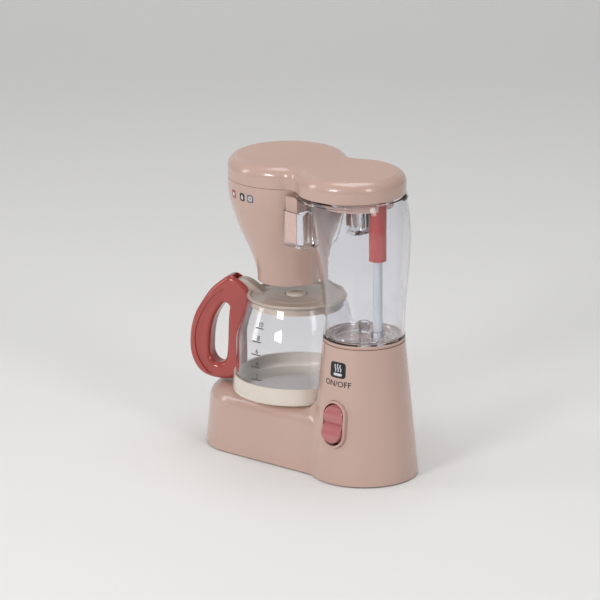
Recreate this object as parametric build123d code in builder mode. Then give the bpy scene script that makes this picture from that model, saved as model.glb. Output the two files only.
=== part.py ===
from build123d import *
from math import cos, radians, sin, tan
import os

# Toy drip coffee maker.
# Frame: origin on the floor under the middle of the overall length, +X from the carafe to
# the water tower, -Y the front with the switch, +Z up. All sizes are in millimetres.

os.makedirs("parts", exist_ok=True)

# ---------------------------------------------------------------- driving dimensions
# layout
axis_gap = 71.2          # carafe axis to tower axis
head_shift = 7.6         # brew head's axis left of the carafe's
plinth_left = 71.5       # carafe axis to the plinth's left end, at the floor
plinth_half_depth = 46.0
plinth_corner_r = 37.0
tower_foot_r = 39.0
draft = 5.0              # degrees, side walls of the plinth

# heights above the floor
shell_foot_z = 1.0
plate_z = 2.2
deck_z = 46.5
tower_top_z = 99.8
ring_top_z = 102.5
tank_rim_z = 205.0
head_foot_z = 128.5
cover_z = 206.5

# common moulding values
wall = 2.4
thin_wall = 1.6
seat_gap = 0.3           # between pieces that seat on each other or slide
running_gap = 0.05       # radial, pin in a hole

# body
tower_top_r = 29.6
shoulder_r = 12.0
flare_r = 13.0
recess_gap = 1.2         # carafe to the hollow in the tower
boss_r = 3.5
boss_inset = 12.0        # screw bosses in from the plinth's foot
screw_r = 1.3
screw_head_r = 2.7
screw_head_h = 1.4
screw_l = 12.0
foot_r = 5.0
foot_stub_r = 2.0

# control panel
panel_turn = 8.0         # degrees the panel faces right of straight ahead
panel_z = 44.5
panel_tilt = 6.0
bezel_l = 34.5
bezel_w = 21.0
bezel_rim = 1.7
bezel_proud = 1.5
bezel_depth = 6.6
rocker_l = 28.0
rocker_gap = 0.45
rocker_pivot_depth = 2.5
rocker_pin_r = 1.2
rocker_swing = 8.0       # degrees each side of level
switch_size = (12.0, 20.0, 12.0)

# pump
pump_floor_t = 2.0
seal_t = 1.2
seal_w = 4.0
pump_r = 16.0
pump_h = 13.0
impeller_r = 11.0
impeller_h = 5.0
vane_count = 6
inlet_r = 4.4
shaft_r = 1.0
motor_r = 10.0
motor_flat = 15.1
motor_h = 25.0

# carafe
glass_r = 44.4
glass_wall = 1.8
glass_corner_r = 4.0
glass_side_h = 36.0      # straight side above the carafe's foot
shoulder_in = 4.4        # glass drawn in halfway up the shoulder
shoulder_rise = 18.0     # from the straight side to that place
neck_in = 9.1            # glass drawn in at the neck
carafe_h = 69.4          # foot to the glass's top edge
base_t = 2.0             # floor of the carafe's base
base_wall = 1.3
base_h = 12.8
base_flare = 0.7         # base wider at its foot
base_step_h = 3.7
base_corner_r = 1.6
handle_turn = 25.0       # degrees the handle points forward of straight left
handle_w = 15.0
handle_out = 38.1        # handle beyond the glass
handle_round = 3.6
bar_t = 7.6              # handle's bar along the glass
grip_w = 15.8
grip_z = 77.5            # height at which the grip stands out most
handle_foot_h = 2.0      # handle above the deck
handle_peak_h = 11.9     # handle above the glass's top edge
channel_w = 5.2          # hollow along each side of the grip
channel_depth = 1.2
hinge_out = 6.2          # lid hinge beyond the neck
hinge_above_rim = 1.2
knuckle_r = 2.6
pin_r = 1.0
tab_w = 8.8
tab_out = 5.7            # thumb tab beyond the hinge
tab_rise = 7.8           # thumb tab above the lid's rim
lid_lip = 0.5            # lid's rim beyond the neck
lid_rim_h = 2.0
lid_plate_t = 1.6
lid_skirt_h = 6.0
button_r = 7.7
button_h = 2.4
button_well = 4.4        # floor of the button's well below the lid's rim
button_stem_r = 2.5
button_travel = 2.0

# water tank
tank_wall = 2.0
tank_foot_in = 4.8       # tank's foot ring inside the tower's top
tank_foot_h = 3.1
waist_z = 150.0
waist_r = 32.0
swell_z = 180.0
swell_r = 35.2
swell_shift = 2.8
mouth_r = 35.4
mouth_shift = 7.8        # mouth centre left of the tower axis
flange_r = 40.2
flange_shift = 12.6
flange_t = 2.0
pocket_left = 48.6       # pocket faces from the tower axis
pocket_right = 33.0
pocket_root = 27.0       # solid side of the pocket, inside the tank's wall
pocket_front = 34.0
pocket_back = 19.0
pocket_h = 25.5
pocket_drop = 13.0       # pocket's top edge below the rim
pocket_wall = 1.4

# water pipes
riser_offset = 14.0      # riser axis right of the tower axis
riser_r = 3.3
riser_bore_r = 2.0
riser_top_z = 172.0
sleeve_r = 6.2
sleeve_bore_r = 3.8
sleeve_foot_z = 161.0
pipe_r = 3.2

# brew head
head_r = 43.6
head_high_r = 41.6
head_high_z = 187.0
head_mid_r = 34.6
head_mid_z = 166.0
head_low_r = 25.7
head_low_z = 145.0
head_foot_r = 22.8
head_wall = 2.2
head_top_z = cover_z - seat_gap
nozzle_r = 4.0
nozzle_flange_r = 7.0
nozzle_drop = 1.5        # nozzle below the head's foot
lug_t = 5.0
lug_h = 33.0
lug_arm = 3.6            # arm from the lug in to the bowl

# top cover
cover_h = 15.5
cover_tank_r = 39.0
cover_waist_r = 12.0     # hollow where the cover's two rounds meet
cover_round = 8.0
plug_r = 25.8
plug_shift = 6.2
plug_foot_z = 198.0

# battery bay
cell_r = 7.1
cell_l = 50.0
cell_count = 3
cell_pitch = 15.0
nub_l = 1.5
contact_t = 0.4
contact_w = 11.0
bay_slack = 5.0
door_t = 1.2
door_lip = 1.6
door_ear_r = 5.0
wire_r = 0.7

# ---------------------------------------------------------------- worked-out places
handle_dir = Vector(-cos(radians(handle_turn)), -sin(radians(handle_turn)), 0)
handle_side = Vector(handle_dir.Y, -handle_dir.X, 0)
neck_r = glass_r - neck_in
lid_r = neck_r + lid_lip
hinge_s = neck_r + hinge_out
tab_end = hinge_s + tab_out
base_r = glass_r + seat_gap + base_wall
handle_reach = glass_r + handle_out
handle_span = (
    handle_round - (handle_reach - handle_round) * handle_dir.X
    - (handle_w / 2 - handle_round) * handle_dir.Y
)
carafe_x = (handle_span - axis_gap - tower_foot_r) / 2
tower_x = carafe_x + axis_gap
head_x = carafe_x - head_shift
riser_x = tower_x + riser_offset
tower_slope = (tower_foot_r - tower_top_r) / (tower_top_z - shell_foot_z)
recess_r = base_r + base_flare + recess_gap
carafe_z = deck_z + seat_gap
glass_z = carafe_z + base_t + seat_gap
shoulder_z = carafe_z + glass_side_h
glass_top_z = carafe_z + carafe_h
lid_z = glass_top_z + seat_gap
hinge_z = glass_top_z + hinge_above_rim
head_clear_r = head_r + 2 * seat_gap
plate_top_z = plate_z + wall
pump_floor_z = ring_top_z - tank_foot_h - seal_t - 2 * seat_gap
pump_top_z = pump_floor_z - pump_floor_t - seat_gap
pump_foot_z = pump_top_z - pump_h
spigot_r = tower_top_r - wall - seat_gap
tank_foot_r = tower_top_r - tank_foot_in
pocket_top_z = tank_rim_z - pocket_drop
bay_x = carafe_x
bay_l = cell_l + bay_slack
bay_w = cell_pitch * cell_count + 2 * seat_gap
cell_z = plate_top_z + seat_gap + cell_r
wire_z = cell_z + contact_w / 2 - 2 * wire_r
handle_plane = Plane(origin=(carafe_x, 0, 0), x_dir=handle_dir, z_dir=handle_side)
tower_section = Plane(origin=(tower_x, 0, 0), x_dir=(1, 0, 0), z_dir=(0, -1, 0))
up = (Align.CENTER, Align.CENTER, Align.MIN)
down = (Align.CENTER, Align.CENTER, Align.MAX)


def tower_r(z):
    """Outside radius of the tower at height z."""
    return tower_top_r + (tower_top_z - z) * tower_slope


def plinth_outline(inset):
    """Plinth at its foot, moved in by inset: a wide left end, and a narrow end in the tower."""
    corner_x = carafe_x - plinth_left + plinth_corner_r
    corner_y = plinth_half_depth - plinth_corner_r
    with BuildSketch() as outline:
        with Locations((corner_x, corner_y), (corner_x, -corner_y)):
            Circle(plinth_corner_r - inset)
        with Locations((tower_x, 0)):
            Circle(tower_top_r + wall - inset)
        make_hull()
    return outline.sketch


def floor_outline(inset):
    """Plinth and tower foot together, moved in by inset."""
    with BuildSketch() as outline:
        add(plinth_outline(inset))
        with Locations((tower_x, 0)):
            Circle(tower_foot_r - inset)
    return outline.sketch


def finish(builder, name):
    """Labels a finished piece and writes its STEP file."""
    builder.part.label = name
    export_step(builder.part, f"parts/{name}.step")


# ---------------------------------------------------------------- body shell
panel_dir = Vector(sin(radians(panel_turn)), -cos(radians(panel_turn)), 0)
panel = Plane(
    origin=Vector(tower_x, 0, panel_z) + panel_dir * tower_r(panel_z),
    x_dir=(cos(radians(panel_turn)), sin(radians(panel_turn)), 0),
    z_dir=panel_dir * cos(radians(panel_tilt)) + Vector(0, 0, sin(radians(panel_tilt))),
)
hole_l = bezel_l - 2 * bezel_rim
hole_w = bezel_w - 2 * bezel_rim
plinth_bosses = [
    (carafe_x - plinth_left + boss_inset + boss_r, 0),
    (carafe_x - 4, plinth_half_depth - boss_inset),
    (carafe_x - 4, boss_inset - plinth_half_depth),
]
tower_boss = (tower_x + 28, 0)
tower_boss_top = 40.0
deck_under_z = deck_z - wall

def drafted_plinth(inset, top_z):
    """Plinth with its drafted sides, moved in by inset, up to top_z."""
    with BuildPart() as form:
        with BuildSketch(Plane.XY.offset(shell_foot_z)):
            add(plinth_outline(inset))
        with BuildSketch(Plane.XY.offset(top_z)):
            add(plinth_outline(inset + (top_z - shell_foot_z) * tan(radians(draft))))
        loft(ruled=True)
    return form.part


def carafe_room(grow, top_z):
    """Room that the carafe needs in the tower, moved out by grow, up to top_z."""
    slope = (recess_r - neck_r - neck_in / 2) / (ring_top_z - shoulder_z)
    with BuildPart() as room:
        with BuildSketch(Plane.XZ):
            with BuildLine():
                Polyline(
                    (0, deck_z - grow), (recess_r + grow, deck_z - grow),
                    (recess_r + grow, shoulder_z),
                    (recess_r + grow - slope * (top_z - shoulder_z), top_z),
                    (0, top_z), close=True,
                )
            make_face()
        revolve(axis=Axis.Z)
    return room.part.moved(Location((carafe_x, 0, 0)))


with BuildPart() as plinth_space:
    add(drafted_plinth(wall, deck_under_z))
    fillet(plinth_space.faces().sort_by(Axis.Z)[-1].edges(), shoulder_r - 1)

with BuildPart() as tower_space:
    with Locations((tower_x, 0, shell_foot_z)):
        Cone(tower_foot_r - wall, tower_top_r - wall, tower_top_z - shell_foot_z, align=up)
    add(carafe_room(wall, ring_top_z), mode=Mode.SUBTRACT)

with BuildPart() as body_shell:
    add(drafted_plinth(0, deck_z))
    fillet(body_shell.faces().sort_by(Axis.Z)[-1].edges(), shoulder_r)
    with Locations((tower_x, 0, shell_foot_z)):
        Cone(tower_foot_r, tower_top_r, tower_top_z - shell_foot_z, align=up)
    joins = body_shell.edges(Select.NEW).filter_by(
        lambda e: e.bounding_box().max.Z > shell_foot_z + 0.1
        and e.bounding_box().min.Z < tower_top_z - 0.1
    )
    fillet(joins, flare_r)
    add(carafe_room(0, ring_top_z), mode=Mode.SUBTRACT)
    add(plinth_space.part, mode=Mode.SUBTRACT)
    add(tower_space.part, mode=Mode.SUBTRACT)
    # screw bosses under the deck, and one on a rib in the tower
    with Locations(*[(x, y, plate_top_z + seat_gap) for x, y in plinth_bosses]):
        Cylinder(boss_r, deck_under_z - plate_top_z, align=up)
    with Locations((*tower_boss, plate_top_z + seat_gap)):
        Cylinder(boss_r, tower_boss_top, align=up)
        Box(
            tower_foot_r - wall - 28 - 2, thin_wall, tower_boss_top,
            align=(Align.MIN, Align.CENTER, Align.MIN),
        )
    with Locations(*[(x, y, plate_top_z) for x, y in [*plinth_bosses, tower_boss]]):
        Cylinder(screw_r + running_gap, screw_l, align=up, mode=Mode.SUBTRACT)
    # opening for the switch bezel
    with BuildSketch(panel.offset(-bezel_depth)):
        SlotOverall(bezel_l + seat_gap, bezel_w + seat_gap, rotation=90)
    extrude(amount=3 * bezel_depth, mode=Mode.SUBTRACT)
finish(body_shell, "body_shell")

# ---------------------------------------------------------------- base plate, feet and screws
foot_places = [
    (carafe_x - 42, 26), (carafe_x - 42, -26), (tower_x + 8, 27), (tower_x + 8, -27),
]
door_l = bay_l - 2
door_w = bay_w - 2
ear_x = bay_x + door_l / 2 + 2

def door_outline(grow):
    """Battery door: a rounded plate with an ear for its screw."""
    with BuildSketch() as outline:
        with Locations((bay_x, 0)):
            RectangleRounded(door_l + 2 * grow, door_w + 2 * grow, 3)
        with Locations((ear_x, 0)):
            Circle(door_ear_r + grow)
    return outline.sketch


with BuildPart() as base_plate:
    with BuildSketch(Plane.XY.offset(plate_z)):
        add(floor_outline(wall + 2 * seat_gap))
    extrude(amount=wall)
    # walls and roof of the battery bay
    with Locations((bay_x, 0, plate_z)):
        Box(bay_l + 2 * thin_wall, bay_w + 2 * thin_wall, 2 * cell_r + wall + 4, align=up)
    with Locations((bay_x, 0, plate_z)):
        Box(bay_l, bay_w, 2 * cell_r + wall + 4 - thin_wall, align=up, mode=Mode.SUBTRACT)
    # ledge that the door seats against
    with BuildSketch(Plane.XY.offset(plate_z + door_t + seat_gap)):
        with Locations((bay_x, 0)):
            Rectangle(bay_l + thin_wall, bay_w + thin_wall)
            Rectangle(door_l - 2 * door_lip, door_w - 2 * door_lip, mode=Mode.SUBTRACT)
    extrude(amount=wall - door_t - seat_gap)
    with Locations((ear_x + door_ear_r / 2, 0, plate_z)):
        Cylinder(boss_r, 10, align=up)
    with BuildSketch(Plane.XY.offset(plate_z)):
        add(door_outline(seat_gap))
    extrude(amount=door_t + seat_gap, mode=Mode.SUBTRACT)
    with Locations((ear_x + door_ear_r / 2, 0, plate_z)):
        Cylinder(screw_r + running_gap, 9, align=up, mode=Mode.SUBTRACT)
    # holes for the wires, at opposite ends of the outer cells
    with Locations((bay_x + bay_l / 2, -cell_pitch, wire_z), (bay_x - bay_l / 2, cell_pitch, wire_z)):
        Cylinder(wire_r + seat_gap, 4 * thin_wall, rotation=(0, 90, 0), mode=Mode.SUBTRACT)
    # holes for the feet and the base screws
    with Locations(*[(x, y, plate_z) for x, y in foot_places]):
        Cylinder(foot_stub_r + running_gap, wall, align=up, mode=Mode.SUBTRACT)
    with Locations(*[(x, y, plate_z) for x, y in [*plinth_bosses, tower_boss]]):
        Cylinder(screw_r + running_gap, wall, align=up, mode=Mode.SUBTRACT)
        Cylinder(screw_head_r + seat_gap, screw_head_h, align=up, mode=Mode.SUBTRACT)
finish(base_plate, "base_plate")

with BuildPart() as rubber_feet:
    with Locations(*[(x, y, 0) for x, y in foot_places]):
        Cylinder(foot_r, plate_z, align=up)
        Cylinder(foot_stub_r, plate_top_z, align=up)
    fillet(rubber_feet.edges().group_by(Axis.Z)[0], 0.8)
finish(rubber_feet, "rubber_feet")

with BuildPart() as base_screws:
    with Locations(*[(x, y, plate_z) for x, y in [*plinth_bosses, tower_boss]]):
        Cylinder(screw_head_r, screw_head_h, align=up)
        Cylinder(screw_r, screw_l, align=up)
        Box(3.2, 0.7, 1.4, mode=Mode.SUBTRACT)
        Box(0.7, 3.2, 1.4, mode=Mode.SUBTRACT)
finish(base_screws, "base_screws")

with BuildPart() as battery_door:
    with BuildSketch(Plane.XY.offset(plate_z)):
        add(door_outline(0))
    extrude(amount=door_t)
    with Locations((bay_x, 0, plate_z)):
        Box(
            door_l - 2 * door_lip - 2 * seat_gap, door_w - 2 * door_lip - 2 * seat_gap,
            wall, align=up,
        )
    # finger grooves across the outside
    with Locations(*[(bay_x - 16 + 4 * n, 0, plate_z) for n in range(4)]):
        Box(1.4, 18, 0.8, mode=Mode.SUBTRACT)
    with Locations((ear_x + door_ear_r / 2, 0, plate_z)):
        Cylinder(screw_r + running_gap, door_t, align=up, mode=Mode.SUBTRACT)
finish(battery_door, "battery_door")

with BuildPart() as door_screw:
    with Locations((ear_x + door_ear_r / 2, 0, plate_z)):
        Cylinder(screw_head_r - 0.5, 0.9, align=down)
        Cylinder(screw_r, 8, align=up)
finish(door_screw, "door_screw")

# ---------------------------------------------------------------- batteries and contacts
cell_rows = [(n - (cell_count - 1) / 2) * cell_pitch for n in range(cell_count)]
cell_ways = [1 if n % 2 == 0 else -1 for n in range(cell_count)]

with BuildPart() as batteries:
    for y, way in zip(cell_rows, cell_ways):
        with Locations((bay_x - way * nub_l / 2, y, cell_z)):
            Cylinder(cell_r, cell_l - nub_l, rotation=(0, 90, 0))
        with Locations((bay_x + way * (cell_l / 2 - nub_l), y, cell_z)):
            Cylinder(2.7, 2 * nub_l, rotation=(0, 90, 0))
finish(batteries, "batteries")

with BuildPart() as battery_contacts:
    for y, way in zip(cell_rows, cell_ways):
        for end in (-1, 1):
            with Locations((bay_x + end * (bay_l - contact_t - seat_gap) / 2, y, cell_z)):
                Box(contact_t, contact_w, contact_w)
            # a wide spring against the flat end, a narrow one against the nub
            reach = (bay_slack - contact_t) / 2 - 2 * seat_gap
            tip_r = 1.8 if end == way else 3.4
            with Locations((bay_x + end * ((bay_l - seat_gap) / 2 - reach / 2 - contact_t), y, cell_z)):
                Cone(4.2, tip_r, reach, rotation=(0, -90 * end, 0))
finish(battery_contacts, "battery_contacts")

# ---------------------------------------------------------------- switch
pivot_plane = Plane(
    origin=panel.offset(-rocker_pivot_depth).origin, x_dir=panel.y_dir, z_dir=panel.x_dir
)
with BuildPart() as switch_bezel:
    with BuildSketch(panel.offset(-bezel_depth)):
        SlotOverall(bezel_l, bezel_w, rotation=90)
    extrude(amount=bezel_depth + bezel_proud)
    with BuildSketch(panel.offset(-bezel_depth)):
        SlotOverall(bezel_l + 4, bezel_w + 4, rotation=90)
    extrude(amount=1.4)
    with BuildSketch(panel.offset(-bezel_depth)):
        SlotOverall(hole_l, hole_w, rotation=90)
    extrude(amount=2 * bezel_depth, mode=Mode.SUBTRACT)
    with BuildSketch(pivot_plane):
        Circle(rocker_pin_r + running_gap)
    extrude(amount=hole_w / 2 + 1.1, both=True, mode=Mode.SUBTRACT)
finish(switch_bezel, "switch_bezel")

with BuildPart() as rocker_form:
    # side view across the pivot: x up the panel, y out of it
    with BuildSketch(pivot_plane):
        with BuildLine():
            half = rocker_l / 2
            foot_line = Line((-half, -1.8), (half, -1.8))
            side = Line(foot_line @ 1, (half, 3.6))
            crown = ThreePointArc(side @ 1, (half / 2, 5.9), (0, 3.1))
            ThreePointArc(crown @ 1, (-half / 2, 5.9), (-half, 3.6))
            Line((-half, 3.6), foot_line @ 0)
        make_face()
    extrude(amount=hole_w / 2, both=True)
    with BuildSketch(panel.offset(-bezel_depth)):
        SlotOverall(rocker_l, hole_w - 2 * rocker_gap, rotation=90)
    extrude(amount=3 * bezel_depth, mode=Mode.INTERSECT)
    fillet(rocker_form.edges().filter_by(GeomType.BSPLINE), 0.8)
    with BuildSketch(pivot_plane):
        Circle(rocker_pin_r)
    extrude(amount=hole_w / 2 + 0.8, both=True)

with BuildPart() as switch_rocker:
    # at rest the lower half stands proud
    add(rocker_form.part.rotate(Axis(pivot_plane.origin, panel.x_dir), -rocker_swing))
finish(switch_rocker, "switch_rocker")

with BuildPart() as switch_body:
    with BuildSketch(panel.offset(-bezel_depth - seat_gap)):
        RectangleRounded(switch_size[0], switch_size[1], 1)
    extrude(amount=-switch_size[2])
    with BuildSketch(panel.offset(-bezel_depth - seat_gap)):
        Rectangle(switch_size[0], bezel_l)
    extrude(amount=-1.2)
finish(switch_body, "switch_body")

# ---------------------------------------------------------------- pump in the tower
with BuildPart() as pump_deck:
    with BuildSketch(tower_section):
        with BuildLine():
            Polyline(
                (0, pump_floor_z - pump_floor_t),
                (spigot_r, pump_floor_z - pump_floor_t),
                (spigot_r, tower_top_z + seat_gap),
                (tower_top_r - 0.7, tower_top_z + seat_gap),
                (tower_top_r - 0.7, tower_top_z + 0.9),
                (tower_top_r, tower_top_z + 1.3),
                (tower_top_r, ring_top_z - 0.5),
                (tower_top_r - 0.5, ring_top_z),
                (tank_foot_r + 2 * seat_gap, ring_top_z),
                (tank_foot_r + 2 * seat_gap, pump_floor_z),
                (0, pump_floor_z),
                close=True,
            )
        make_face()
    revolve(axis=Axis((tower_x, 0, 0), (0, 0, 1)))
    with Locations((tower_x, 0, pump_floor_z), (riser_x, 0, pump_floor_z)):
        Cylinder(inlet_r, 2 * pump_floor_t, mode=Mode.SUBTRACT)
    # hollow behind the carafe's room
    add(carafe_room(wall + seat_gap, tower_top_z + seat_gap), mode=Mode.SUBTRACT)
finish(pump_deck, "pump_deck")

with BuildPart() as tank_seal:
    with Locations((tower_x, 0, pump_floor_z + seat_gap)):
        Cylinder(tank_foot_r, seal_t, align=up)
        Cylinder(tank_foot_r - seal_w, seal_t, align=up, mode=Mode.SUBTRACT)
finish(tank_seal, "tank_seal")

with BuildPart() as pump_housing:
    with BuildSketch(Plane.XY.offset(pump_foot_z)):
        with Locations((tower_x, 0)):
            Circle(pump_r)
        with Locations((riser_x, 0)):
            Circle(inlet_r + thin_wall)
        make_hull()
    extrude(amount=pump_h)
    with Locations((tower_x, 0, pump_foot_z + thin_wall)):
        Cylinder(impeller_r + 1.5, pump_h - 2 * thin_wall, align=up, mode=Mode.SUBTRACT)
        Cylinder(inlet_r, pump_h, align=up, mode=Mode.SUBTRACT)
    # outlet from the pump chamber up to the riser
    with Locations((riser_x, 0, pump_foot_z + thin_wall + impeller_h)):
        Cylinder(riser_bore_r, pump_h, align=up, mode=Mode.SUBTRACT)
    with Locations((riser_x, 0, pump_foot_z + thin_wall + impeller_h)):
        Box(
            riser_offset - impeller_r + 2, 2 * riser_bore_r, 2 * riser_bore_r,
            align=(Align.MAX, Align.CENTER, Align.CENTER), mode=Mode.SUBTRACT,
        )
    with Locations((tower_x, 0, pump_foot_z)):
        Cylinder(shaft_r + seat_gap, thin_wall, align=up, mode=Mode.SUBTRACT)
finish(pump_housing, "pump_housing")

impeller_z = pump_foot_z + thin_wall + 2 * seat_gap
motor_top_z = pump_foot_z - seat_gap
shaft_grip = 6.0         # length of shaft inside the motor

with BuildPart() as impeller:
    with Locations((tower_x, 0, impeller_z)):
        Cylinder(impeller_r, 1.2, align=up)
        Cylinder(3.0, impeller_h, align=up)
    with Locations((tower_x, 0, impeller_z)):
        with PolarLocations(0, vane_count):
            Box(impeller_r - 0.5, 1.2, impeller_h, align=(Align.MIN, Align.CENTER, Align.MIN))
    with Locations((tower_x, 0, motor_top_z - shaft_grip)):
        Cylinder(shaft_r, impeller_z - motor_top_z + shaft_grip + 1, align=up)
finish(impeller, "impeller")

with BuildPart() as pump_motor:
    with BuildSketch(Plane.XY.offset(motor_top_z)):
        with Locations((tower_x, 0)):
            Circle(motor_r)
            Rectangle(2 * motor_r, motor_flat, mode=Mode.INTERSECT)
    extrude(amount=-motor_h)
    with Locations((tower_x, 0, motor_top_z - motor_h)):
        Cylinder(3.0, 1.8, align=down)
    with Locations((tower_x, 5, motor_top_z - motor_h), (tower_x, -5, motor_top_z - motor_h)):
        Box(2.2, 0.5, 5.0, align=down)
    with Locations((tower_x, 0, motor_top_z)):
        Cylinder(shaft_r + running_gap, shaft_grip + 1, align=down, mode=Mode.SUBTRACT)
finish(pump_motor, "pump_motor")

# ---------------------------------------------------------------- wires
def switch_end(side):
    """Where a wire meets the back of the switch block."""
    depth = bezel_depth + seat_gap + switch_size[2] + 0.2
    return panel.origin - panel.z_dir * depth + panel.x_dir * side


contact_reach = (bay_l - seat_gap) / 2
terminal_z = motor_top_z - motor_h - 5.2
with BuildPart() as lead_wires:
    with BuildLine() as cell_to_switch:
        Spline(
            (bay_x + contact_reach + 0.1, -cell_pitch, wire_z),
            (bay_x + contact_reach + 9, -cell_pitch, wire_z + 0.6),
            (tower_x - 20, -12, 24),
            (tower_x - 5, -8, 35),
            switch_end(-3),
            tangents=[(1, 0, 0), panel.z_dir],
        )
    with BuildLine() as switch_to_motor:
        Spline(
            switch_end(3), (tower_x + 4, -8, 44.5), (tower_x, -5, terminal_z),
            tangents=[-panel.z_dir, (0, 0, 1)],
        )
    with BuildLine() as motor_to_cell:
        Polyline(
            (bay_x - contact_reach - 0.1, cell_pitch, wire_z),
            (bay_x - contact_reach - 5, cell_pitch, wire_z),
            (bay_x - contact_reach - 5, cell_pitch, 2 * cell_r + 12),
            (tower_x - 18, 11, 2 * cell_r + 12),
            (tower_x, 5, terminal_z - 8),
            (tower_x, 5, terminal_z),
        )
    for run in (cell_to_switch, switch_to_motor, motor_to_cell):
        with BuildSketch(Plane(origin=run.line @ 0, z_dir=run.line % 0)):
            Circle(wire_r)
        sweep(path=run.line, transition=Transition.ROUND)
finish(lead_wires, "lead_wires")

# ---------------------------------------------------------------- water tank
tank_sections = [
    # height, radius, shift left of the tower axis
    (ring_top_z + seat_gap, tower_top_r, 0),
    (waist_z, waist_r, 0),
    (swell_z, swell_r, swell_shift),
    (tank_rim_z, mouth_r, mouth_shift),
]


def tank_body(inset, foot_z):
    """Tank form moved in by inset, hollowed on the left where the brew head stands."""
    with BuildPart() as body:
        for index, (z, r, shift) in enumerate(tank_sections):
            with BuildSketch(Plane.XY.offset(foot_z if index == 0 else z)):
                with Locations((tower_x - shift, 0)):
                    Circle(r - inset)
        loft()
        with Locations((head_x, 0, foot_z)):
            Cylinder(head_clear_r + inset, tank_rim_z, align=up, mode=Mode.SUBTRACT)
    return body.part


tank_floor_z = tank_sections[0][0] + tank_wall
lug_x = tower_x - (pocket_left + pocket_right) / 2
lug_y = pocket_front - pocket_wall - 2 * seat_gap - lug_t / 2
lug_w = pocket_left - pocket_right - 2 * pocket_wall - 4 * seat_gap

with BuildPart() as tank:
    add(tank_body(0, tank_sections[0][0]))
    # rim flange, cut away round the brew head
    with BuildSketch(Plane.XY.offset(tank_rim_z)):
        with Locations((tower_x - flange_shift, 0)):
            Circle(flange_r)
        with Locations((head_x, 0)):
            Circle(head_clear_r, mode=Mode.SUBTRACT)
    extrude(amount=-flange_t)
    # pockets that carry the brew head's lugs, front and back
    for side in (-1, 1):
        with BuildSketch(Plane.XY.offset(pocket_top_z)):
            with Locations((tower_x - pocket_left, side * (pocket_front + pocket_back) / 2)):
                RectangleRounded(
                    pocket_left - pocket_root, pocket_front - pocket_back, 2,
                    align=(Align.MIN, Align.CENTER),
                )
        extrude(amount=-pocket_h)
        with BuildSketch(Plane.XY.offset(pocket_top_z)):
            with Locations((lug_x, side * (pocket_front + pocket_back) / 2)):
                RectangleRounded(
                    pocket_left - pocket_right - 2 * pocket_wall,
                    pocket_front - pocket_back - 2 * pocket_wall, 1,
                )
        extrude(amount=-pocket_h + pocket_wall, mode=Mode.SUBTRACT)
        with Locations((lug_x, side * (lug_y - lug_arm / 2), tank_rim_z)):
            Box(
                lug_w + 4 * seat_gap, lug_t + lug_arm + 4 * seat_gap, flange_t,
                align=down, mode=Mode.SUBTRACT,
            )
    with Locations((head_x, 0, pocket_top_z - pocket_h)):
        Cylinder(head_clear_r, tank_rim_z, align=up, mode=Mode.SUBTRACT)
    add(tank_body(tank_wall, tank_floor_z), mode=Mode.SUBTRACT)
    # foot ring, inlet boss and riser boss
    with Locations((tower_x, 0, tank_sections[0][0])):
        Cylinder(tank_foot_r, tank_foot_h, align=down)
        Cylinder(tank_foot_r - tank_wall - 2, tank_foot_h, align=down, mode=Mode.SUBTRACT)
    with Locations((tower_x, 0, tank_sections[0][0])):
        Cylinder(inlet_r, tank_wall + 8, align=up)
        Cylinder(inlet_r - thin_wall, tank_wall + 8, align=up, mode=Mode.SUBTRACT)
    with Locations((riser_x, 0, tank_sections[0][0])):
        Cylinder(riser_r + thin_wall, tank_wall + 4, align=up)
        Cylinder(riser_r + seat_gap, tank_wall + 4, align=up, mode=Mode.SUBTRACT)
finish(tank, "tank")

# ---------------------------------------------------------------- water pipes
pipe_z = cover_z + cover_h - wall - seat_gap - pipe_r

with BuildPart() as riser_tube:
    with Locations((riser_x, 0, tank_sections[0][0])):
        Cylinder(riser_r, riser_top_z - tank_sections[0][0], align=up)
        Cylinder(riser_bore_r, riser_top_z, align=up, mode=Mode.SUBTRACT)
finish(riser_tube, "riser_tube")

with BuildPart() as tube_sleeve:
    with Locations((riser_x, 0, sleeve_foot_z)):
        Cylinder(sleeve_r, pipe_z - sleeve_foot_z - pipe_r, align=up)
        Cylinder(sleeve_bore_r, pipe_z, align=up, mode=Mode.SUBTRACT)
finish(tube_sleeve, "tube_sleeve")

with BuildPart() as water_pipe:
    # across the cover, down into the sleeve at one end and over the nozzle at the other
    with Locations((riser_x, 0, pipe_z)):
        Cylinder(pipe_r, riser_x - head_x, rotation=(0, -90, 0), align=up)
        Cylinder(pipe_r, pipe_z - tank_rim_z + pipe_r, align=down)
        Sphere(pipe_r)
    with Locations((head_x, 0, pipe_z)):
        Cylinder(pipe_r, pipe_z - tank_rim_z + pipe_r, align=down)
        Sphere(pipe_r)
    with Locations((riser_x, 0, pipe_z)):
        Cylinder(
            pipe_r - 1, riser_x - head_x, rotation=(0, -90, 0), align=up, mode=Mode.SUBTRACT
        )
        Cylinder(pipe_r - 1, pipe_z, align=down, mode=Mode.SUBTRACT)
    with Locations((head_x, 0, pipe_z)):
        Cylinder(pipe_r - 1, pipe_z, align=down, mode=Mode.SUBTRACT)
finish(water_pipe, "water_pipe")


# ---------------------------------------------------------------- top cover
def cover_outline(inset):
    """Cover in plan: a round over the brew head and one over the tank, with a soft waist."""
    with BuildSketch() as outline:
        with Locations((head_x, 0)):
            Circle(head_r - inset)
        with Locations((tower_x - flange_shift, 0)):
            Circle(cover_tank_r - inset)
        fillet(outline.vertices().sort_by(Axis.X)[:2], cover_waist_r + inset)
    return outline.sketch


with BuildPart() as cover_space:
    with BuildSketch(Plane.XY.offset(cover_z)):
        add(cover_outline(wall))
    extrude(amount=cover_h - wall)
    fillet(cover_space.faces().sort_by(Axis.Z)[-1].edges(), cover_round - wall)

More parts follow.
